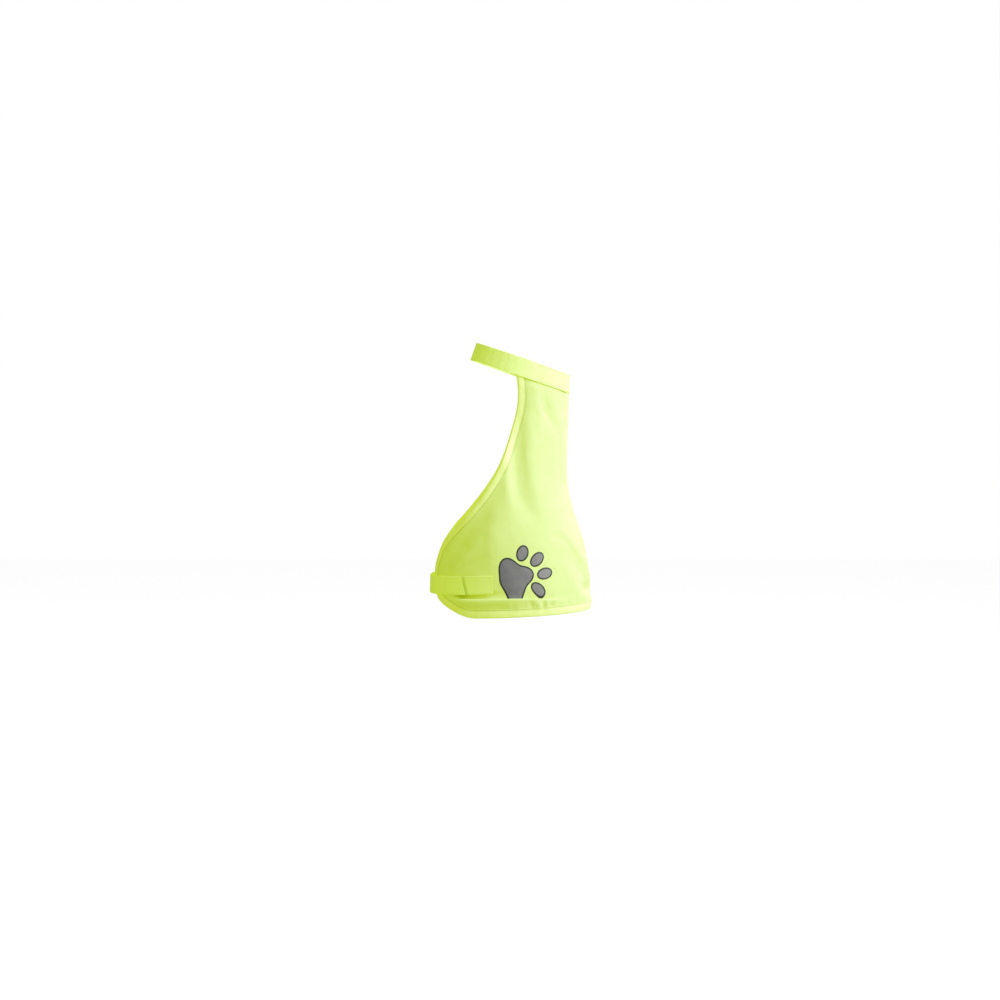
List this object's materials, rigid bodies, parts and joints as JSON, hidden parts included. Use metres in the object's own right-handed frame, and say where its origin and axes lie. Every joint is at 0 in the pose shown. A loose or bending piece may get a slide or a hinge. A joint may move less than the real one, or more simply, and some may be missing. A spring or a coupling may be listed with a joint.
{
  "type": "dog safety vest",
  "caption": "High-visibility cape for a dog's back and flanks, worn upright: bound edges, a neck strap, a hook-and-loop belly strap and a reflective paw print.",
  "frame": {"origin": "centre of the neck opening, where the vest hangs on the wearer's neck", "axes": "+Z towards the wearer's head, +X out of the spine, -Y to the wearer's left"},
  "size_m": [0.2714, 0.2103, 0.4483],
  "materials": {
    "cape_cloth": "fluorescent yellow-green woven polyester with a soft sheen",
    "tape": "fluorescent yellow-green polyester tape",
    "hook_and_loop": "fluorescent yellow-green hook and loop tape",
    "reflective_film": "grey retroreflective bead film with a dark outline"
  },
  "bodies": {
    "root": {"back_panel": "cape_cloth", "edge_binding": "tape", "neck_strap": "tape", "belly_strap": "tape", "belly_loop": "hook_and_loop", "belly_hook": "hook_and_loop", "neck_loop": "hook_and_loop", "neck_hook": "hook_and_loop", "paw_pad": "reflective_film", "paw_toe_1": "reflective_film", "paw_toe_2": "reflective_film", "paw_toe_3": "reflective_film", "paw_toe_4": "reflective_film"}
  },
  "joints": []
}
